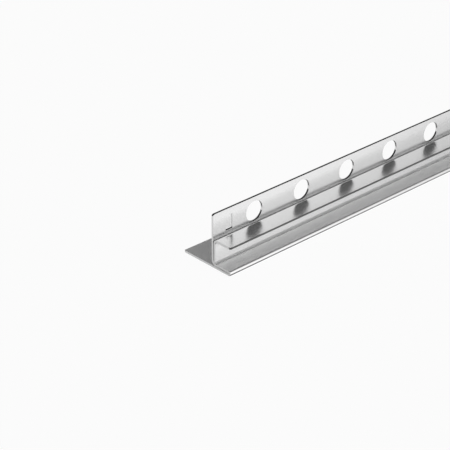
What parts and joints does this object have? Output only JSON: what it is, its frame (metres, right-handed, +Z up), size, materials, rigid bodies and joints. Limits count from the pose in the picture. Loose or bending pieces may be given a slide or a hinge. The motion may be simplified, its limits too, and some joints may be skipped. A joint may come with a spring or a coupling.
{
  "type": "shower slope wedge profile",
  "caption": "Folded stainless sheet profile with a tapering face plate, a web with a row of round holes, and a shelf angle that makes a channel along the folded edge.",
  "frame": {"origin": "middle of the bounding box's underside, on the flat face plate", "axes": "+X along the length towards the shallow end, +Y from the folded edge towards the tapering edge, +Z up along the web"},
  "size_m": [0.98, 0.0304, 0.0265],
  "materials": {
    "profile_steel": "bright stainless steel sheet, smooth, with a very fine grain along the length",
    "angle_steel": "bright stainless steel sheet, smooth, with a very fine grain along the length"
  },
  "bodies": {
    "root": {"folded_profile": "profile_steel", "shelf_angle": "angle_steel"}
  },
  "joints": []
}
